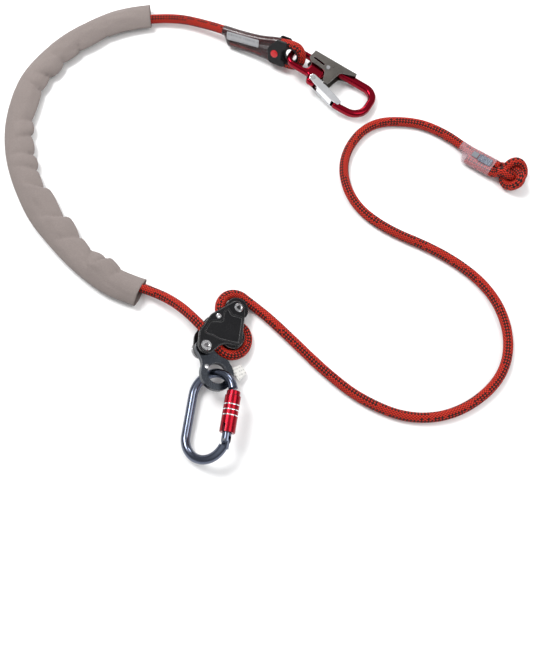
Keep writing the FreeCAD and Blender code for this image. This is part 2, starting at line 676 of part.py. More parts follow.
def guard():
    """Protective sleeve: flattened fabric tube with the rope's passage through it."""
    wire = route_wire(GUARD_ROUTE, "protective sleeve")
    along = (GUARD_ROUTE[1] - GUARD_ROUTE[0]).normalize()
    oval_ring = Part.Ellipse(Vector(0, 0, 0), size("guard_half_width"), size("guard_half_height"))
    profile = Part.Wire(oval_ring.toShape())
    across = Vector(0, 0, 1).cross(along)
    profile.Placement = Placement(GUARD_ROUTE[0], Rotation(across, Vector(0, 0, 1), along, "ZXY"))
    outer = wire.makePipeShell([profile], True, False)
    passage = tube(ROPE_ROUTE[9:27], size("guard_bore"), "passage")
    made = outer.cut(passage)
    solid("protective_sleeve", made)


# ---------------------------------------------------------------- splice and thimble
CHEEK = [(-3.5, 17.0, 3), (-17.0, 18.0, 3), (-29.5, 4.5, 6), (-27.0, -13.6, 5), (-7.0, -15.4, 4),
         (-3.5, -10.2, 2.5), (-9.9, -6.0, 3), (-9.9, 6.0, 3), (-4.0, 10.0, 3)]
SHRINK = [(-21.5, 16.0, 1.5), (-45, 13.2, 25), (-74, 12.2, 20), (-93, 12.4, 1.5),
          (-93, 0.4, 1.5), (-80, -12.2, 4), (-45, -13.2, 25), (-30, -15.2, 1.5)]
PLUG = Vector(-19.5, -0.5, 0)


def flat_solid(corners, low, high):
    """Upright solid over a rounded outline."""
    face = Part.Face(Part.Wire([c.toShape() for c in rounded(corners)]))
    return face.extrude(Vector(0, 0, high - low)).translated(Vector(0, 0, low))


def splice_passage(name):
    """Space of both rope strands at the thimble and in the splice."""
    local = [THIMBLE.inverse().multVec(p) for p in ROPE_ROUTE[:13]]
    return tube(local, ROPE + PLAY / 2, name)


def thimble_pieces():
    half = size("thimble_half")
    bow = size("thimble_bow")
    ring = Part.makeCylinder(size("thimble_lip"), 2 * half, Vector(0, 0, -half))
    wedge = flat_solid([(-3, 8.2, 1), (-3, -8.2, 1), (-17, -6.2, 3), (-27, -3.4, 2), (-27, 3.4, 2),
                        (-17, 6.2, 3)], -half, half)
    groove = Part.makeTorus(bow, ROPE + PLAY)
    hole = Part.makeCylinder(size("thimble_hole"), 2 * half, Vector(0, 0, -half))
    core = ring.fuse(wedge).cut(groove).cut(hole).cut(splice_passage("thimble passage"))
    for side in (1, -1):
        core = core.cut(Part.makeCone(size("thimble_hole"), size("thimble_mouth"), half - 2,
                                      Vector(0, 0, 2 * side), Vector(0, 0, side)))
    core = core.cut(Part.makeCylinder(2.5, 40, PLUG - Vector(0, 0, 20)))
    solid("thimble_core", core.removeSplitter(), THIMBLE)
    rise = half + size("cheek_thick")
    for label, low, high in (("thimble_cheek_front", half, rise),
                             ("thimble_cheek_back", -rise, -half)):
        cheek = flat_solid(CHEEK, low, high)
        outside = high if high > 0 else low
        rims = [e for e in cheek.Edges
                if e.BoundBox.ZLength < 1e-6 and abs(e.BoundBox.ZMin - outside) < 1e-6]
        cheek = cheek.makeFillet(1.2, rims)
        cheek = cheek.cut(Part.makeCylinder(2.5, 40, PLUG - Vector(0, 0, 20)))
        solid(label, cheek, THIMBLE)
    at = THIMBLE.multiply(Placement(PLUG, Rotation()))
    turned("thimble_plug", [
        (0, -rise - 0.8), (3.9, -rise - 0.8), (4.4, -rise), (2.5, -rise), (2.5, rise),
        (4.7, rise), (4.5, rise + 0.6), (3.6, rise + 1.0), (0, rise + 1.1)], at)


def splice():
    """Heat-shrink over both rope strands, with its label."""
    half = ROPE + size("shrink_wall")
    block = flat_solid(SHRINK, -half, half)
    rims = [e for e in block.Edges if e.BoundBox.ZLength < 1e-6 and e.Length > 15]
    block = block.makeFillet(3.4, rims)
    cords = splice_passage("splice passage")
    core_space = flat_solid([(-33, 5.0, 1), (-33, -5.0, 1), (0, -9, 1), (0, 9, 1)],
                            -half - 1, half + 1)
    for low in (size("thimble_half"), -size("thimble_half") - size("cheek_thick")):
        space = flat_solid(CHEEK, low, low + size("cheek_thick"))
        core_space = core_space.fuse(space)
    solid("splice_shrink", block.cut(cords).cut(core_space), THIMBLE)
    label = flat_solid([(-86, 9.6, 1), (-86, -0.5, 1), (-42, 0.5, 1), (-42, 10.2, 1)],
                       half, half + 0.5)
    solid("splice_label", label, THIMBLE)


# ---------------------------------------------------------------- stopper end
def stopper_pieces():
    """Clear heat-shrink over the folded rope end, a label, a small clip and the knot."""
    half = ROPE + size("shrink_wall")
    outline = [(-31, 10.6, 2), (-12, 13.0, 12), (15, 12.6, 3), (15, -12.6, 3), (-19.5, -12.7, 4),
               (-24.5, -2.5, 4), (-31, -1.8, 1.5)]
    block = flat_solid(outline, -half, half)
    rims = [e for e in block.Edges if e.BoundBox.ZLength < 1e-6 and e.Length > 10]
    block = block.makeFillet(3.4, rims)
    inverse = STOPPER.inverse()
    main = tube([inverse.multVec(p) for p in ROPE_ROUTE[-5:]], ROPE + PLAY / 2, "stopper passage")
    fold = tube([inverse.multVec(p) for p in FOLD_ROUTE], ROPE + PLAY / 2, "fold passage")
    solid("stopper_shrink", block.cut(main).cut(fold), STOPPER)
    label = flat_solid([(-4, 4.6, 0.8), (-4, -5.0, 0.8), (12.5, -5.0, 0.8), (12.5, 4.6, 0.8)],
                       half, half + 0.5)
    solid("stopper_label", label, STOPPER)
    chip = flat_solid([(-13, 3.6, 0.8), (-13, -3.0, 0.8), (-5.5, -3.6, 0.8), (-5.5, 3.6, 0.8)],
                      half, half + 0.4)
    solid("stopper_chip", chip, STOPPER)
    ball = Part.makeSphere(1.0)
    stretch = FreeCAD.Matrix()
    stretch.scale(20.0, 19.0, 14.6)
    ball = ball.transformGeometry(stretch)
    centre = table(290.5, 186.5, 14.7)
    ball.translate(centre)
    reach = [tube([stopper(x, y) for x, y in run], ROPE + PLAY / 4, "knot entry")
             for run in (((-20, 5.2), (2, 6.2), (21, 5.8)), ((-16.5, -5.9), (2, -6.1), (22, -5.7)))]
    solid("stopper_knot", ball.cut(reach))


def tag():
    """Small pale tag that hangs beside the arm's eye."""
    plate = flat_solid([(-9.0, 4.0, 1), (2.0, 9.5, 1), (8.5, 0.5, 1), (0.0, -9.5, 1)], -0.6, 0.6)
    solid("eye_tag", plate, frame(-30.5, -56.5, 9.0, heading=0.0, pitch=20.0))


adjuster()
oval()
hook()
thimble_pieces()
rope()
splice()
guard()
stopper_pieces()
tag()
doc.recompute()

for item in doc.Objects:
    if "Invalid" in item.State or "Error" in item.State:
        raise ValueError("%s failed: %s" % (item.Label, item.State))
os.makedirs("parts", exist_ok=True)
low = Vector(1e9, 1e9, 1e9)
for node in nodes:
    shape = node.Shape
    if shape.isNull() or not shape.isValid() or shape.Volume <= 0:
        raise ValueError("bad shape in " + node.Label)
    shape.exportStep("parts/%s.step" % node.Label)
    box = shape.BoundBox
    print("%-28s solids %d vol %9.0f  x %.1f..%.1f y %.1f..%.1f z %.1f..%.1f" % (
        node.Label, len(shape.Solids), shape.Volume, box.XMin, box.XMax, box.YMin, box.YMax,
        box.ZMin, box.ZMax))
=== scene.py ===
# Looks of the positioning lanyard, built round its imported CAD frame.
# Lengths are metres, except control points and the knot's sizes, which are millimetres.
# Headings and view angles are degrees, and every other angle is radians.
import bisect
import json
import math
import random

import bpy
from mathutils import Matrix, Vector, noise


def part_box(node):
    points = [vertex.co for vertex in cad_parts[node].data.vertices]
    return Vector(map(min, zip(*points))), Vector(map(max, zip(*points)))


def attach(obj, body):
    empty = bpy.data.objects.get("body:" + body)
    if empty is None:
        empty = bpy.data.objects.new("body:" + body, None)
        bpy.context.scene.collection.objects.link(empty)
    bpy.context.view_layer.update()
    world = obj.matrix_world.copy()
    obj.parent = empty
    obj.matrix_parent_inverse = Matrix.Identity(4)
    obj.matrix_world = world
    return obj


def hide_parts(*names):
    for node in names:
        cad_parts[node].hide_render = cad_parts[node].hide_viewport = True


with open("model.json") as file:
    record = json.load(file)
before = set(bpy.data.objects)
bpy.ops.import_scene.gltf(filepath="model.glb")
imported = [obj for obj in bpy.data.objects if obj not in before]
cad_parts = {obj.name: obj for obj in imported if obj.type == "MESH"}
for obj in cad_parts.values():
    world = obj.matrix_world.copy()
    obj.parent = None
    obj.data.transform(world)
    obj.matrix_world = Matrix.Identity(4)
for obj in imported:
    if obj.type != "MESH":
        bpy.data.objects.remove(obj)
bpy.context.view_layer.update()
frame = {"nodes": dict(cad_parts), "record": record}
nodes = frame["nodes"]
MM = 0.001

# Rope, and the braid of its sheath
ROPE_RADIUS = 5.5 * MM
ROPE_GIRTH = 2 * math.pi * ROPE_RADIUS
ROPE_SIDES = 24
BRAID_CARRIERS = 12  # strands each way round the rope
BRAID_PITCH = 0.8  # turns of one strand in a length of one girth
STRAND_CROWN = 0.75  # how much of a crossing's height follows the upper strand
ROPE_UNEVEN = 0.02  # of the radius
ROPE_WAVES = 60.0  # per metre, of the uneven girth
ROPE_FINENESS = 26  # points of the smooth line for each control point
KNOT_FINENESS = 12
TRACER_REPEAT = 8.0  # strand crossings round the rope, from one dark row to the next
TRACER_WIDTH = 4.4  # how many of those crossings are dark
TRACER_TWIST = 0.06  # how far a row drifts round the rope at each crossing along it
TRACER_KEPT = 0.92  # share of the dark yarns that show
TRACER_COLOURS = ((0.004, 0.003, 0.003), (0.020, 0.010, 0.009))
SHEATH_REDS = ((0.44, 0.012, 0.006), (0.58, 0.024, 0.009))  # in stained and in clean places
SHEATH_HIGHLIGHT = (0.80, 0.080, 0.030)  # painted highlight on the fibres that stand out
SHEATH_GAP_SHADE = (0.055, 0.001, 0.001)  # painted shade between the strands
SHEATH_DEPTH = 0.7 * MM

# Wear sleeve
SLEEVE_HALF_WIDTH = 17.0 * MM
SLEEVE_HALF_HEIGHT = 8.2 * MM
SLEEVE_LIFT = 0.8 * MM  # room under the half height, for the cloth's waves
SLEEVE_SAG = 0.4 * MM  # how much of that room they may take
SLEEVE_OFFSET = 5.0 * MM  # sleeve's middle, inside the rope's curve, or outside at its ends
SLEEVE_EASE = 0.28  # share of the length, from either end, over which its middle crosses the rope
SLEEVE_SIDES = 72
CLOTH = 0.7 * MM
SECTION_GIRTH = 2.55 * (SLEEVE_HALF_WIDTH + SLEEVE_HALF_HEIGHT)
CLOTH_GIRTH = 1.25 * SECTION_GIRTH  # with what its gathers take up
YARN = 0.55 * MM
WEAVE_DEPTH = 0.18 * MM
HEM = 9 * MM  # from either end to its stitching
HEM_WIDTH = 1.1 * MM
HEM_DEPTH = 0.4 * MM
END_FLARE = 0.5 * MM
END_FLARE_REACH = 5 * MM
CREASES_START = 60 * MM  # plain cloth before the first crease
CREASES_STOP = 12 * MM  # no crease is nearer the end than this
CREASE_SLANT = 9 * MM  # along the sleeve, from its inner edge to its middle, at a lean of 1
CREASE_SEED = 11
CLOSE_CREASES = (20 * MM, 30 * MM)  # least and most room between two creases
FAR_CREASES = (32 * MM, 58 * MM)
CREASE_LEANS = (-1.3, 1.3)
CREASE_REACHES = (0.55, 1.15)  # across the sleeve, from its inner edge
LOBE_SIZES = (0.5, 1.25)
LOBE_WIDTH = 3.6 * MM  # how far a lobe stands out sideways
LOBE_HEIGHT = 3.9 * MM  # and upward
LOBE_LEAN = 0.45  # how much a leaning crease moves its lobe's top
LOBE_ROUND = 0.42  # under 1 makes broad lobes and narrow creases
LOBE_FADE = 0.9  # share of the half width over which a lobe sinks into plain cloth
GATHER_REACH = 0.35  # share of the half width that the gathers reach past the middle
SLOW_WAVE = 0.07  # of the section's size
SLOW_WAVES = 22.0  # per metre
FINE_WAVE = 0.7 * MM
FINE_WAVES = 75.0
EDGE_PINCH = 0.22  # how much lower the section's two edges are
INNER_PINCH = 0.30  # and its gathered edge on top of that

# Heat-shrink films
FILM_RADIUS = 6.35 * MM  # outside of the heat-shrink round one strand
FILM = 0.5 * MM
FILM_STEP = 0.8 * MM
FILM_SIDES = 48
FILM_RIPPLE = 0.16 * MM
FILM_RIPPLES = 90.0  # per metre
STRAND_GRIP = 3.0  # how far round its own strand each half of the film reaches
FILM_WAIST = 0.09  # how much the film dips between its two strands
WAIST_OUT = 4 * MM  # half the strands' distance from which it dips fully
TIP_REACH = 3 * MM  # stretch of a strand that gives its tip's direction
STRAND_RAMP = 8 * MM  # over this length the film spreads from one strand to two
STRAND_LEAD = 9 * MM  # and it starts this far before the second strand's tip
STOPPER_START = 52 * MM  # along the rope, from its end
STOPPER_LONG = 46 * MM
STOPPER_TIP = 12.5 * MM  # folded end's tip, from the film's start
SPLICE_LONG = 81 * MM
SPLICE_TIP = 11 * MM  # the rope's own start, from the film's start

# Paler edges of the metal pieces: partly rubbed wear, partly painted edge highlight
EDGE_REACH = 1.0 * MM
EDGE_FULL = 0.86  # cosine of the turn, inside that reach, that counts as a sharp edge
EDGE_NONE = 0.997  # and of the turn that counts as none

# Printed labels
BAR_HEIGHT = 0.42  # share of a row
BARS_PER_METRE = 900.0
INK_SHARE = 0.55

# Control points of the rope's line, as in the CAD part.
ROPE_ROUTE = [
    (-65.4, 261.2, 7.6), (-46.4, 252.5, 9.9), (-26.7, 242.8, 11.0), (-7.1, 231.9, 9.5),
    (14.0, 221.5, 10.9), (21.2, 221.9, 18.8), (22.1, 226.5, 28.5), (16.2, 232.9, 34.8),
    (-5.2, 241.9, 30.8), (-30.0, 250.8, 23.1), (-59.0, 263.7, 18.7), (-91.8, 280.5, 14.6),
    (-139.8, 298.4, 9.0), (-205.8, 291.4, 8.0), (-268.8, 262.4, 8.0), (-312.8, 214.4, 8.0),
    (-327.8, 153.4, 8.0), (-320.8, 86.4, 8.0), (-295.8, 28.4, 8.0), (-255.8, -23.6, 8.0),
    (-205.8, -60.6, 8.0), (-152.8, -78.6, 11.0), (-120.8, -97.6, 20.0), (-94.2, -125.4, 30.8),
    (-82.0, -139.6, 25.1), (-70.8, -155.4, 19.9), (-57.8, -157.8, 13.8), (-46.3, -150.6, 8.4),
    (-41.5, -137.0, 6.2), (-44.7, -126.4, 7.7), (-50.6, -122.2, 10.4), (-60.7, -123.3, 15.2),
    (-71.4, -114.3, 20.1), (-73.5, -99.8, 21.1), (-66.1, -87.5, 17.7), (-53.1, -84.1, 11.6),
    (-40.6, -92.4, 6.4), (-18.8, -110.6, 6.6), (10.2, -139.6, 5.8), (41.2, -171.6, 5.7),
    (80.2, -204.6, 5.7), (132.2, -226.6, 5.7), (186.2, -219.6, 5.7), (235.2, -181.6, 5.7),
    (249.2, -130.6, 5.7), (232.2, -75.6, 5.7), (183.2, -31.6, 5.7), (110.2, 2.4, 5.7),
    (74.2, 41.4, 5.7), (68.2, 96.4, 5.7), (103.2, 144.4, 5.7), (159.2, 145.4, 5.7),
    (194.2, 127.4, 6.8), (221.1, 103.3, 7.2), (239.5, 91.2, 8.7), (254.6, 79.8, 10.1)]
FOLD_END = [(248.6, 69.9, 10.1), (232.2, 81.3, 8.7), (217.4, 92.3, 7.4)]
KNOT_CENTRE = (266.4, 70.2, 12.6)
KNOT_HEADING = -36.0
KNOT_SIZE = 5.2  # a third of the radius of the knot's middle line
KNOT_RISE = 6.6  # of the middle line, above and below the knot's centre
KNOT_OPENING = 5 * math.pi / 3  # turn of the middle line that faces the rope
KNOT_GAP = 0.62  # left open on each side of it
KNOT_STEPS = 27
KNOT_STRETCH = 1.32  # along the stopper's own line
SPLICE_FILM_END = (-74.2, 271.1)
SLEEVE_ENDS = [(-169.0, 302.6), (-163.0, -79.4)]


# ------------------------------------------------------------------ materials
class Shader:
    """One procedural material; most methods add a node and return its output."""

    def __init__(self, name, colour, rough, metal=0.0, **extra):
        self.material = bpy.data.materials.new(name)
        self.material.use_nodes = True
        self.tree = self.material.node_tree
        self.surface = self.tree.nodes["Principled BSDF"]
        self.set("Base Color", (*colour, 1.0))
        self.set("Roughness", rough)
        self.set("Metallic", metal)
        for key, value in extra.items():
            self.set(key.replace("_", " "), value)

    def set(self, socket, value):
        self.surface.inputs[socket].default_value = value

    def feed(self, socket, output):
        self.tree.links.new(output, self.surface.inputs[socket])

    def node(self, kind, values=(), **settings):
        made = self.tree.nodes.new("ShaderNode" + kind)
        for key, value in settings.items():
            setattr(made, key, value)
        for slot, value in dict(values).items():
            if hasattr(value, "is_output"):
                self.tree.links.new(value, made.inputs[slot])
            else:
                made.inputs[slot].default_value = value
        return made

    def math(self, operation, first, second=0.0):
        return self.node("Math", {0: first, 1: second}, operation=operation).outputs[0]

    def place(self, kind="Object"):
        """Where on the piece a point is."""
        return self.node("TexCoord").outputs[kind]

    def parts(self, vector):
        made = self.node("SeparateXYZ", {0: vector})
        return made.outputs[0], made.outputs[1], made.outputs[2]

    def stretched(self, vector, scale):
        return self.node("Mapping", {"Vector": vector, "Scale": scale}).outputs[0]

    def noise(self, vector, scale, detail=3.0, rough=0.5):
        values = {"Vector": vector, "Scale": scale, "Detail": detail, "Roughness": rough}
        return self.node("TexNoise", values).outputs["Fac"]

    def between(self, value, low, high, start=0.0, end=1.0):
        """From low to high as the value goes from start to end, and flat beyond them."""
        values = {"Value": value, 1: start, 2: end, 3: low, 4: high}
        return self.node("MapRange", values).outputs[0]

    def mix(self, share, first, second):
        made = self.node("Mix", data_type="RGBA")
        made.inputs[6].default_value = (*first, 1.0) if isinstance(first, tuple) else (0, 0, 0, 1)
        made.inputs[7].default_value = (*second, 1.0) if isinstance(second, tuple) else (0, 0, 0, 1)
        for slot, value in ((0, share), (6, first), (7, second)):
            if hasattr(value, "is_output"):
                self.tree.links.new(value, made.inputs[slot])
        return made.outputs[2]

    def edges(self, reach):
        """Mask of the piece's sharp edges, within a reach of them."""
        rounded = self.node("Bevel", {"Radius": reach}, samples=6).outputs[0]
        flat = self.node("NewGeometry").outputs["Normal"]
        turned = self.node("VectorMath", {0: rounded, 1: flat}, operation="DOT_PRODUCT")
        return self.between(turned.outputs["Value"], 1.0, 0.0, start=EDGE_FULL, end=EDGE_NONE)

    def bump(self, height, depth, strength):
        """Raise the surface by a pattern's height, with nothing returned."""
        values = {"Height": height, "Distance": depth, "Strength": strength}
        self.feed("Normal", self.node("Bump", values).outputs[0])


def shade(colour, share):
    """Lighter or darker tone of a colour."""
    return tuple(min(1.0, c * share) for c in colour)


def anodised(name, colour, rough, metal=1.0, grain=900.0, wear=0.20, edge=0.0, **extra):
    """Metal with a soft, uneven sheen, fine tooling marks, rubbed places, and paler edges that are
    partly rubbed wear and partly painted edge highlight.
    """
    made = Shader(name, colour, rough, metal, **extra)
    where = made.place()
    cloud = made.noise(where, 55.0, detail=4.0)
    grainy = made.noise(made.stretched(where, (1.0, 0.25, 1.0)), grain, detail=2.0)
    rub = made.noise(where, 160.0, detail=6.0, rough=0.7)
    rubbed = made.between(rub, 0.0, 0.35, start=0.62, end=0.78)
    base = made.mix(cloud, shade(colour, 0.82), shade(colour, 1.18))
    worn = tuple(0.8 * c + wear * 0.35 for c in colour)
    base = made.mix(rubbed, base, worn)
    # Paler edges: partly rubbed bare metal, partly a painted highlight along the sharp edges.
    if edge:
        edge_wear_and_highlight = tuple(0.5 * c + edge for c in colour)
        scuffed = made.between(rub, 0.35, 1.0, start=0.3, end=0.6)
        rim = made.math("MULTIPLY", made.edges(EDGE_REACH), scuffed)
        base = made.mix(rim, base, edge_wear_and_highlight)
    made.feed("Base Color", base)
    sheen = made.math("ADD", cloud, grainy)
    made.feed("Roughness", made.between(sheen, rough * 0.7, rough * 1.35, start=0.6, end=1.4))
    made.bump(grainy, 0.02 * MM, strength=0.35)
    return made.material


def moulded(name, colour, rough, **extra):
    """Moulded plastic with a fine eroded texture and faint flow marks."""
    made = Shader(name, colour, rough, **extra)
    where = made.place()
    fine = made.noise(where, 700.0)
    flow = made.noise(made.stretched(where, (1.0, 3.0, 1.0)), 45.0, detail=4.0)
    made.feed("Base Color", made.mix(flow, shade(colour, 0.75), shade(colour, 1.3)))
    made.feed("Roughness", made.between(flow, rough * 0.75, rough * 1.25, start=0.3, end=0.7))
    made.bump(fine, 0.08 * MM, strength=0.6)
    return made.material


def strand_round(made, turns):
    """Height across each strand, from 0 at its edges to 1 in its middle."""
    return made.math("SINE", made.math("MULTIPLY", made.math("FRACT", turns), math.pi))


def braid_pattern(made):
    """Height and dark-yarn mask of a braided sheath, from the tube's own UV."""
    across, along, _ = made.parts(made.place("UV"))
    turns = made.math("MULTIPLY", across, float(BRAID_CARRIERS))
    climb = made.math("MULTIPLY", along, BRAID_CARRIERS * BRAID_PITCH)
    right = made.math("ADD", turns, climb)
    left = made.math("SUBTRACT", turns, climb)
    right_index = made.math("FLOOR", right)
    left_index = made.math("FLOOR", left)
    total = made.math("ADD", right_index, left_index)
    over = made.math("FLOORED_MODULO", total, 2.0)
    right_round = strand_round(made, right)
    left_round = strand_round(made, left)
    left_over = made.math("ADD", made.math("MULTIPLY", left_round, STRAND_CROWN),
                          made.math("MULTIPLY", right_round, 1 - STRAND_CROWN))
    right_over = made.math("ADD", made.math("MULTIPLY", right_round, STRAND_CROWN),
                           made.math("MULTIPLY", left_round, 1 - STRAND_CROWN))
    step = made.math("SUBTRACT", right_over, left_over)
    height = made.math("ADD", left_over, made.math("MULTIPLY", step, over))
    pair = made.node("CombineXYZ", {0: right_index, 1: left_index}).outputs[0]
    chance = made.node("TexWhiteNoise", {"Vector": pair}).outputs["Value"]
    side = made.math("SUBTRACT", right_index, left_index)
    spiral = made.math("ADD", total, made.math("MULTIPLY", side, TRACER_TWIST))
    within = made.math("FLOORED_MODULO", spiral, TRACER_REPEAT)
    row = made.math("LESS_THAN", within, TRACER_WIDTH)
    shown = made.math("MULTIPLY", over, made.math("LESS_THAN", chance, TRACER_KEPT))
    tracer = made.math("MULTIPLY", row, shown)
    return height, tracer


def rope_material():
    """Red braided sheath: strands over and under each other, painted shade between them, dark
    tracer yarns, loose fuzz, and painted highlights on scattered fibres.
    """
    made = Shader("rope_sheath", (0.40, 0.02, 0.008), 0.62, Specular_IOR_Level=0.2)
    height, tracer = braid_pattern(made)
    where = made.place()
    fibre = made.noise(where, 1600.0, rough=0.6)
    stain = made.noise(where, 35.0)
    red = made.mix(stain, *SHEATH_REDS)
    # Painted highlight: a random scatter of fibres is lightened toward pale orange.
    fibre_highlight = made.between(fibre, 0.0, 0.35, start=0.35, end=0.75)
    red = made.mix(fibre_highlight, red, SHEATH_HIGHLIGHT)
    # Painted shade: the sheath is darkened between the strands, where the braid sinks.
    gap_shade = made.between(height, 1.0, 0.0, start=0.45, end=0.80)
    red = made.mix(gap_shade, red, SHEATH_GAP_SHADE)
    dark = made.mix(fibre, *TRACER_COLOURS)
    core = made.between(height, 0.0, 1.0, start=0.15, end=0.35)
    mask = made.math("MULTIPLY", tracer, core)
    made.feed("Base Color", made.mix(mask, red, dark))
    made.feed("Roughness", made.between(fibre, 0.5, 0.78))
    lumps = made.math("ADD", height, made.math("MULTIPLY", fibre, 0.25))
    made.bump(lumps, SHEATH_DEPTH, strength=0.9)
    return made.material


def sleeve_material():
    """Grey plain-woven cloth with slubs, clouded tones, painted shade in the weave's hollows, and a
    soft sheen.
    """
    colour = (0.215, 0.182, 0.170)
    made = Shader("sleeve_cloth", colour, 0.82, Sheen_Weight=0.06, Specular_IOR_Level=0.2)
    across, along, _ = made.parts(made.place("UV"))
    pitch = math.pi / YARN
    warp = made.math("SINE", made.math("MULTIPLY", across, pitch))
    weft = made.math("SINE", made.math("MULTIPLY", along, pitch))
    weave = made.math("MULTIPLY", warp, weft)
    where = made.place()
    cloud = made.noise(where, 14.0, detail=5.0, rough=0.6)
    slub = made.noise(made.stretched(where, (1.0, 1.0, 6.0)), 520.0)
    base = made.mix(cloud, shade(colour, 0.86), shade(colour, 1.13))
    thick_yarn = made.between(slub, 0.0, 0.5, start=0.4, end=0.8)
    base = made.mix(thick_yarn, base, shade(colour, 1.28))
    # Painted shade: the cloth is darkened in the hollows of the weave.
    hollow_shade = made.between(weave, 0.3, 0.0, start=-1.0, end=0.2)
    base = made.mix(hollow_shade, base, shade(colour, 0.6))
    made.feed("Base Color", base)
    made.feed("Roughness", made.between(slub, 0.72, 0.92))
    lumps = made.math("ADD", made.math("MULTIPLY", weave, 0.5), slub)
    made.bump(lumps, WEAVE_DEPTH, strength=0.7)
    return made.material


def shrink_material(name, colour, alpha, rough):
    """Translucent heat-shrink: slightly wrinkled, glossy, with milky streaks."""
    made = Shader(name, colour, rough, Alpha=alpha, Coat_Weight=0.4, Coat_Roughness=0.12)
    where = made.place()
    streak = made.noise(made.stretched(where, (0.6, 1.6, 1.0)), 130.0, detail=4.0, rough=0.6)
    cloud = made.noise(where, 60.0)
    made.feed("Base Color", made.mix(streak, shade(colour, 0.7), shade(colour, 1.35)))
    made.feed("Roughness", made.between(cloud, rough * 0.6, rough * 1.5, start=0.3, end=0.7))
    made.bump(made.math("ADD", streak, cloud), 0.3 * MM, strength=0.2)
    return made.material


def label_material(name, paper, ink, centre, across, along, rows, reach):
    """Label with rows of plain bars over a reach, as a stand-in for its print."""
    made = Shader(name, paper, 0.42, Coat_Weight=0.25)
    where = made.node("VectorMath", {0: made.place(), 1: centre}, operation="SUBTRACT").outputs[0]
    run = made.node("VectorMath", {0: where, 1: along}, operation="DOT_PRODUCT").outputs["Value"]
    rise = made.node("VectorMath", {0: where, 1: across}, operation="DOT_PRODUCT").outputs["Value"]
    row = made.math("DIVIDE", rise, reach / rows)
    band = made.math("LESS_THAN", made.math("FRACT", row), BAR_HEIGHT)
    spread = made.math("MULTIPLY", run, BARS_PER_METRE)
    cell = made.node("CombineXYZ", {0: spread, 1: made.math("FLOOR", row)}).outputs[0]
    bars = made.noise(cell, 1.0, detail=0.0)
    print_mask = made.math("MULTIPLY", band, made.math("GREATER_THAN", bars, 0.5))
    fade = made.noise(made.place(), 240.0, detail=4.0)
    base = made.mix(fade, shade(paper, 0.82), shade(paper, 1.12))
    made.feed("Base Color", made.mix(made.math("MULTIPLY", print_mask, INK_SHARE), base, ink))
    made.feed("Roughness", made.between(fade, 0.32, 0.6))
    made.bump(fade, 0.1 * MM, strength=0.3)
    return made.material


# Each material by its slot in the record.
MATERIALS = {
    "plate_black": anodised("plate_black", (0.006, 0.006, 0.007), 0.22, metal=0.0, wear=0.006,
                            edge=0.20, Specular_IOR_Level=0.24),
    "steel": anodised("bright_steel", (0.56, 0.56, 0.57), 0.20, grain=500.0),
    "arm_grey": anodised("arm_grey", (0.050, 0.055, 0.065), 0.24, wear=0.08, edge=0.20),
    "oval_grey": anodised("oval_blue_grey", (0.115, 0.130, 0.175), 0.17, wear=0.12),
    "lock_red": anodised("lock_red", (0.27, 0.004, 0.013), 0.26, metal=0.9, wear=0.05, edge=0.04),
    "ring_silver": anodised("ring_silver", (0.82, 0.82, 0.84), 0.12),
    "hook_red": anodised("hook_red", (0.23, 0.003, 0.014), 0.17, metal=0.95, wear=0.05),
    "gate_steel": anodised("gate_steel", (0.80, 0.81, 0.83), 0.07),
    "lever_grey": anodised("lever_grey", (0.115, 0.105, 0.095), 0.34, metal=0.8, wear=0.10,
                           edge=0.20),
    "thimble_black": moulded("thimble_black", (0.008, 0.008, 0.009), 0.40, Specular_IOR_Level=0.25),
    "plug_red": moulded("plug_red", (0.52, 0.012, 0.016), 0.32),
    "rope_red": rope_material(),
    "shrink_dark": shrink_material("shrink_dark", (0.030, 0.012, 0.014), alpha=0.52, rough=0.25),
    "shrink_clear": shrink_material("shrink_clear", (0.62, 0.42, 0.46), alpha=0.20, rough=0.30),
    "sleeve_fabric": sleeve_material(),
    "chip_dark": moulded("chip_dark", (0.16, 0.17, 0.19), 0.35),
}

# Each label: its node, paper, ink, the print's heading, rows of print and their whole reach.
LABELS = (
    ("splice_label", (0.34, 0.345, 0.36), (0.07, 0.07, 0.08), -24.5, 4, 10 * MM),
    ("stopper_label", (0.075, 0.09, 0.13), (0.55, 0.57, 0.60), -36.0, 5, 9 * MM),
    ("eye_tag", (0.66, 0.65, 0.62), (0.2, 0.2, 0.2), 30.0, 4, 15 * MM),
)


def middle(node):
    low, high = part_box(node)
    return (low + high) / 2


def labels():
    """Each label's print follows the label's own middle and direction."""
    made = {}
    for node, paper, ink, heading, rows, reach in LABELS:
        turn = math.radians(heading)
        along = (math.cos(turn), math.sin(turn), 0.0)
        across = (-math.sin(turn), math.cos(turn), 0.0)
        made[node] = label_material(node + "_print", paper, ink, tuple(middle(node)), across,
                                    along, rows, reach)
    return made


def dress_cad_nodes():
    """Every CAD node gets its own print or the material of its slot in the record."""
    printed = labels()
    for part in frame["record"]["subparts"]:
        name = part["node"]
        data = nodes[name].data
        data.materials.clear()
        data.materials.append(printed.get(name) or MATERIALS[part["material_slot"]])


# ------------------------------------------------------------------ lines and sweeps
def smooth_line(name, points, fineness):
    """Points of a smooth NURBS line through the air over its control points."""
    curve = bpy.data.curves.new(name, "CURVE")
    curve.dimensions = "3D"
    curve.resolution_u = fineness
    spline = curve.splines.new("NURBS")
    spline.points.add(len(points) - 1)
    for control, point in zip(spline.points, points):
        control.co = (*(c * MM for c in point), 1.0)
    spline.order_u = 3
    spline.use_endpoint_u = True
    holder = bpy.data.objects.new(name, curve)
    bpy.context.scene.collection.objects.link(holder)
    bpy.context.view_layer.update()
    mesh = bpy.data.meshes.new_from_object(holder)
    line = [v.co.copy() for v in mesh.vertices]
    bpy.data.objects.remove(holder)
    bpy.data.meshes.remove(mesh)
    return line


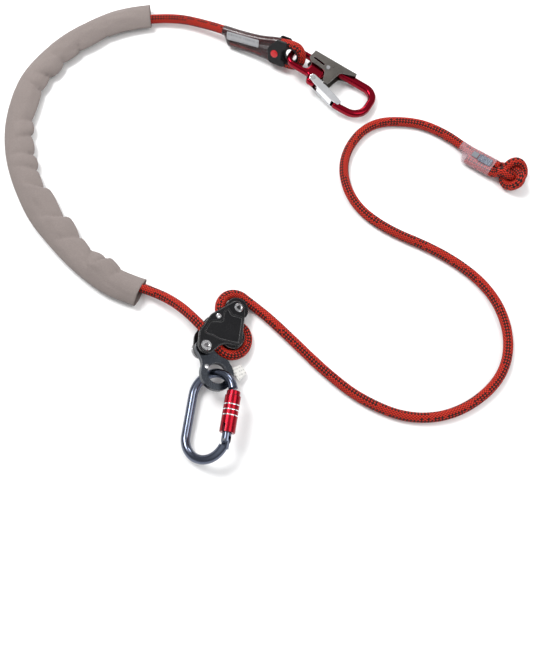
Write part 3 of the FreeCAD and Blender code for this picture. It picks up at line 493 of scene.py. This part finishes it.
def distances(line):
    """Length along a line at each of its points."""
    run = [0.0]
    for a, b in zip(line, line[1:]):
        run.append(run[-1] + (b - a).length)
    return run


def tangents(line):
    """Direction of a line at each of its points."""
    last = len(line) - 1
    return [(line[min(i + 1, last)] - line[max(i - 1, 0)]).normalized() for i in range(last + 1)]


def carried_sides(line):
    """Two sideways directions at each point, carried along without twist."""
    ways = tangents(line)
    side = ways[0].cross(Vector((0, 0, 1))).normalized()
    sides = []
    for way in ways:
        side = (side - way * side.dot(way)).normalized()
        sides.append((side.copy(), way.cross(side)))
    return sides


def sweep(name, line, sides, section, count, capped):
    """Tube of rings; section(i, share) gives the two offsets, and UV is (girth share, length).

    i counts the line's points, and share is how far round the ring a corner stands, from 0 to 1.
    """
    run = distances(line)
    verts = []
    for i, (point, (first, second)) in enumerate(zip(line, sides)):
        for k in range(count):
            a, b = section(i, k / count)
            verts.append(point + first * a + second * b)
    faces = []
    uvs = []
    for i in range(len(line) - 1):
        for k in range(count):
            after = (k + 1) % count
            faces.append((i * count + k, i * count + after, (i + 1) * count + after,
                          (i + 1) * count + k))
            uvs += [(k / count, run[i]), ((k + 1) / count, run[i]),
                    ((k + 1) / count, run[i + 1]), (k / count, run[i + 1])]
    if capped:
        for i in (0, len(line) - 1):
            ring = [i * count + k for k in range(count)]
            faces.append(tuple(ring if i else reversed(ring)))
            uvs += [(0.5, run[i])] * count
    mesh = bpy.data.meshes.new(name)
    mesh.from_pydata(verts, [], faces)
    layer = mesh.uv_layers.new(name="UVMap")
    for loop, uv in zip(layer.data, uvs):
        loop.uv = uv
    mesh.polygons.foreach_set("use_smooth", [True] * len(faces))
    made = bpy.data.objects.new(name, mesh)
    bpy.context.scene.collection.objects.link(made)
    return made


def rope_tube(name, line):
    """Rope with slightly uneven girth; V is counted in girths so the braid keeps its angle."""
    def section(i, share):
        turn = 2 * math.pi * share
        radius = ROPE_RADIUS * (1.0 + ROPE_UNEVEN * noise.noise(line[i] * ROPE_WAVES))
        return radius * math.cos(turn), radius * math.sin(turn)

    made = sweep(name, line, carried_sides(line), section, ROPE_SIDES, True)
    for loop in made.data.uv_layers[0].data:
        loop.uv = (loop.uv[0], loop.uv[1] / ROPE_GIRTH)
    made.data.materials.append(MATERIALS["rope_red"])
    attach(made, "lanyard")
    return made


# ------------------------------------------------------------------ rope, knot and sleeve
def knot_point(turn):
    """Middle line of an overhand knot with its open lobe toward the rope."""
    x = KNOT_SIZE * (math.sin(turn) + 2 * math.sin(2 * turn))
    y = KNOT_SIZE * (math.cos(turn) - 2 * math.cos(2 * turn))
    z = -KNOT_RISE * math.sin(3 * turn)
    way = (math.cos(math.radians(KNOT_HEADING)), math.sin(math.radians(KNOT_HEADING)))
    more = (x * way[0] + y * way[1]) * (KNOT_STRETCH - 1)
    return (KNOT_CENTRE[0] + x + way[0] * more, KNOT_CENTRE[1] + y + way[1] * more,
            KNOT_CENTRE[2] + z)


def knot_route():
    """Control points of the knot, from the rope's end round it and back to the folded end."""
    first = KNOT_OPENING + KNOT_GAP - 2 * math.pi
    last = KNOT_OPENING - KNOT_GAP
    turns = [first + (last - first) * i / KNOT_STEPS for i in range(KNOT_STEPS + 1)]
    loop = [knot_point(turn) for turn in reversed(turns)]
    return [ROPE_ROUTE[-1]] + loop + FOLD_END


def eased(share):
    """Smooth rise from 0 to 1 as a share goes from 0 to 1."""
    share = max(0.0, min(1.0, share))
    return share * share * (3 - 2 * share)


def point_at(line, run, at):
    """Point of a line at a distance from its start."""
    i = max(1, min(len(line) - 1, bisect.bisect_left(run, at)))
    share = (at - run[i - 1]) / (run[i] - run[i - 1])
    return line[i - 1].lerp(line[i], share)


def film(name, slot, main, start, side, side_start, lag, long):
    """Heat-shrink film round a strand and, from lag onward, a second strand beside it.

    start and side_start are (distance, way): where each strand begins under the film, and
    whether the film follows its line forward, 1, or backward, -1.
    """
    main_run = distances(main)
    side_run = distances(side)
    steps = int(long / FILM_STEP)
    tip = point_at(side, side_run, side_start[0])
    beyond = point_at(side, side_run, side_start[0] + side_start[1] * TIP_REACH)
    tip_way = (beyond - tip).normalized()
    firsts = []
    middles = []
    halves = []
    for i in range(steps + 1):
        at = long * i / steps
        first = point_at(main, main_run, start[0] + start[1] * at)
        second = point_at(side, side_run, side_start[0] + side_start[1] * max(0.0, at - lag))
        second = second - tip_way * max(0.0, lag - at)
        second = first.lerp(second, eased((at - lag + STRAND_LEAD) / STRAND_RAMP))
        firsts.append(first)
        middles.append((first + second) / 2)
        halves.append((second - first) / 2)
    sides = []
    apart = halves[-1]
    for way in tangents(firsts):
        across = apart - way * way.dot(apart)
        across.normalize()
        sides.append((across, way.cross(across)))

    def section(i, share):
        turn = 2 * math.pi * share
        lean = max(-1.0, min(1.0, STRAND_GRIP * math.cos(turn)))
        out, rise = (halves[i].dot(way) for way in sides[i])
        waist = 1.0 - FILM_WAIST * (1.0 - abs(lean)) * min(1.0, out / WAIST_OUT)
        place = middles[i] * FILM_RIPPLES + Vector((0, 0, 3.0 * share))
        girth = FILM_RADIUS + FILM_RIPPLE * noise.noise(place)
        return (out * lean + girth * math.cos(turn),
                rise * lean + girth * math.sin(turn) * waist)

    made = sweep(name, middles, sides, section, FILM_SIDES, False)
    thick = made.modifiers.new("film", "SOLIDIFY")
    thick.thickness = FILM
    thick.offset = -1.0
    made.data.materials.append(MATERIALS[slot])
    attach(made, "lanyard")
    return made


def rope_and_knot():
    """The rope with its knot and both heat-shrinks; returns the rope's own line."""
    line = smooth_line("rope_line", ROPE_ROUTE, ROPE_FINENESS)
    rope = rope_tube("rope_sheath", line)
    knot_line = smooth_line("knot_line", knot_route(), KNOT_FINENESS)
    knot = rope_tube("stopper_knot_rope", knot_line)
    run = distances(line)
    knot_end = distances(knot_line)[-1]
    stopper_film = film("stopper_film", "shrink_clear", line, (run[-1] - STOPPER_START, 1),
                        knot_line, (knot_end, -1), STOPPER_TIP, STOPPER_LONG)
    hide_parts("stopper_shrink")
    splice_end = run[nearest_index(line, SPLICE_FILM_END)]
    splice_film = film("splice_film", "shrink_dark", line, (splice_end, -1), line, (0.0, 1),
                       SPLICE_TIP, SPLICE_LONG)
    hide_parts("splice_shrink")
    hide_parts("rope")
    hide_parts("stopper_knot", "rope_folded_end")
    return line


def nearest_index(line, place):
    """Which of a line's points is nearest a place on the floor, in millimetres."""
    target = Vector((place[0] * MM, place[1] * MM, 0))
    return min(range(len(line)), key=lambda i: (Vector((line[i].x, line[i].y, 0)) - target).length)


def make_creases(long):
    """Creases between the sleeve's gathered lobes: place, lean, reach and size of the next lobe."""
    draw = random.Random(CREASE_SEED)
    creases = []
    at = CREASES_START
    while at < long - CREASES_STOP:
        step = draw.choice((draw.uniform(*CLOSE_CREASES), draw.uniform(*FAR_CREASES)))
        lean = draw.uniform(*CREASE_LEANS)
        reach = draw.uniform(*CREASE_REACHES)
        size = draw.uniform(*LOBE_SIZES)
        creases.append((at, lean, reach, size))
        at += step
    return creases


def lobe_height(creases, at, across):
    """Round lobe between two slanting creases, from -1 in a crease to 1; flat on the outer side."""
    slant = (1.0 - across) * CREASE_SLANT
    for (start, lean, reach, size), (end, next_lean, next_reach, _) in zip(creases, creases[1:]):
        low = start + lean * slant
        high = end + next_lean * slant
        if low <= at < high:
            share = (at - low) / (high - low)
            share = share ** (1.0 + LOBE_LEAN * lean)
            depth = reach + (next_reach - reach) * share
            outer_edge = 0.75 - 1.7 * depth  # further out for a crease that reaches further
            fade = max(0.0, min(1.0, (across - outer_edge) / LOBE_FADE))
            return (size * 2.0 * math.sin(math.pi * share) ** LOBE_ROUND - 1.0) * fade
    return 0.0


def sleeve(line):
    """Loose cloth sleeve round the rope, gathered along its inner side."""
    start, end = (nearest_index(line, place) for place in SLEEVE_ENDS)
    part = line[start:end + 1]
    ways = tangents(part)
    middle_line = []
    sides = []
    last = len(part) - 1
    for i, (point, way) in enumerate(zip(part, ways)):
        inward = Vector((0, 0, 1)).cross(Vector((way.x, way.y, 0)).normalized())
        ease = eased(min(i, last - i) / (SLEEVE_EASE * last))
        place = point + inward * SLEEVE_OFFSET * (2 * ease - 1)
        place.z = SLEEVE_HALF_HEIGHT + SLEEVE_LIFT
        middle_line.append(place)
        sides.append((inward, Vector((0, 0, 1))))
    run = distances(middle_line)
    long = run[-1]
    creases = make_creases(long)

    def section(i, share):
        turn = 2 * math.pi * share
        across = math.cos(turn)
        up = math.sin(turn)
        at = run[i]
        inner = max(0.0, across + GATHER_REACH) / (1.0 + GATHER_REACH)
        lobe = lobe_height(creases, at, across)
        slow = SLOW_WAVE * noise.noise(Vector((at * SLOW_WAVES, across * 1.3, up * 1.3)))
        fine_place = Vector((at * FINE_WAVES, across * 3.0, up * 3.0 + 7.0))
        fine = FINE_WAVE * noise.noise(fine_place)
        end = min(at, long - at)
        hem = HEM_DEPTH * math.exp(-((end - HEM) / HEM_WIDTH) ** 2)
        flare = END_FLARE * math.exp(-end / END_FLARE_REACH)
        wide = SLEEVE_HALF_WIDTH * (1.0 + slow) + inner * inner * lobe * LOBE_WIDTH
        high = SLEEVE_HALF_HEIGHT * (1.0 + slow)
        swell = lobe * LOBE_HEIGHT * (0.3 + 0.7 * inner) + fine - hem
        pinch = EDGE_PINCH * abs(across) ** 3 + INNER_PINCH * max(0.0, across) ** 2
        out = across * (wide + flare)
        rise = up * (high * (1.0 - pinch) + swell + flare)
        return out, max(rise, -SLEEVE_HALF_HEIGHT - SLEEVE_SAG)

    made = sweep("sleeve_cloth", middle_line, sides, section, SLEEVE_SIDES, False)
    for loop in made.data.uv_layers[0].data:
        loop.uv = (loop.uv[0] * CLOTH_GIRTH, loop.uv[1])
    thick = made.modifiers.new("cloth", "SOLIDIFY")
    thick.thickness = CLOTH
    thick.offset = -1.0
    made.data.materials.append(MATERIALS["sleeve_fabric"])
    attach(made, "lanyard")
    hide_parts("protective_sleeve")


# ------------------------------------------------------------------ stage, lights and camera
FLOOR_REACH = 6.0
LAMPS = (  # name, place, width and watts; all point at the origin
    ("key", (-1.0, 0.7, 1.9), 0.9, 40),
    ("fill", (1.3, -0.3, 1.6), 1.2, 16),
    ("rim", (0.1, 1.8, 1.0), 0.6, 12),
)
# The sky's tone at heights from the horizon, 0, to straight up, 1: pale at and under the
# horizon, a grey band above it for the metal to reflect, and white overhead.
SKY_STRENGTH = 0.82
SKY_LOW = (0.12, (0.90, 0.91, 0.92))
SKY_HIGH = (0.90, (1.0, 1.0, 1.0))
SKY_BAND = ((0.28, 0.34), (0.48, 0.36))
SKY_BAND_TINT = (1.0, 1.02, 1.06)
CAMERA_PLACE = (-20.8 * MM, -439.7 * MM, 887.8 * MM)
CAMERA_TILT = 20.0  # off straight down
CAMERA_LENS = 46.8  # millimetres, as is the sensor
SENSOR_WIDTH = 36.0
CAMERA_NEAR = 0.02


def floor():
    """Pale floor that the lanyard lies on."""
    mesh = bpy.data.meshes.new("floor")
    corners = [(x * FLOOR_REACH, y * FLOOR_REACH, 0)
               for x, y in ((-1, -1), (1, -1), (1, 1), (-1, 1))]
    mesh.from_pydata(corners, [], [(0, 1, 2, 3)])
    made = bpy.data.objects.new("floor", mesh)
    bpy.context.scene.collection.objects.link(made)
    pale = Shader("floor_pale", (0.93, 0.93, 0.93), 0.9)
    cloud = pale.noise(pale.place(), 2.0)
    pale.feed("Base Color", pale.mix(cloud, (0.92, 0.92, 0.92), (0.94, 0.94, 0.94)))
    made.data.materials.append(pale.material)


def lamp(name, place, wide, watts):
    """Soft square light pointed at the origin."""
    data = bpy.data.lights.new(name, "AREA")
    data.shape = "SQUARE"
    data.size = wide
    data.energy = watts
    made = bpy.data.objects.new(name, data)
    made.location = place
    made.rotation_euler = (-Vector(place)).to_track_quat("-Z", "Y").to_euler()
    bpy.context.scene.collection.objects.link(made)


def studio():
    """Pale surroundings and three soft lights."""
    world = bpy.data.worlds.new("studio")
    bpy.context.scene.world = world
    world.use_nodes = True
    tree = world.node_tree
    back = tree.nodes["Background"]
    back.inputs["Strength"].default_value = SKY_STRENGTH
    where = tree.nodes.new("ShaderNodeTexCoord")
    split = tree.nodes.new("ShaderNodeSeparateXYZ")
    ramp = tree.nodes.new("ShaderNodeValToRGB")
    stops = ramp.color_ramp.elements
    for stop, (height, tone) in zip(stops, (SKY_LOW, SKY_HIGH)):
        stop.position = height
        stop.color = (*tone, 1)
    for height, grey in SKY_BAND:
        stops.new(height).color = (*(grey * tint for tint in SKY_BAND_TINT), 1)
    tree.links.new(where.outputs["Generated"], split.inputs[0])
    tree.links.new(split.outputs[2], ramp.inputs[0])
    tree.links.new(ramp.outputs[0], back.inputs["Color"])
    bpy.context.scene.view_settings.view_transform = "Standard"
    for name, place, wide, watts in LAMPS:
        lamp(name, place, wide, watts)


def camera():
    """Camera 0.95 m away, 20 degrees off straight down."""
    data = bpy.data.cameras.new("camera")
    data.lens = CAMERA_LENS
    data.sensor_width = SENSOR_WIDTH
    data.clip_start = CAMERA_NEAR
    made = bpy.data.objects.new("camera", data)
    made.location = CAMERA_PLACE
    made.rotation_euler = (math.radians(CAMERA_TILT), 0, 0)
    bpy.context.scene.collection.objects.link(made)
    bpy.context.scene.camera = made


dress_cad_nodes()
rope_line = rope_and_knot()
sleeve(rope_line)
floor()
studio()
camera()
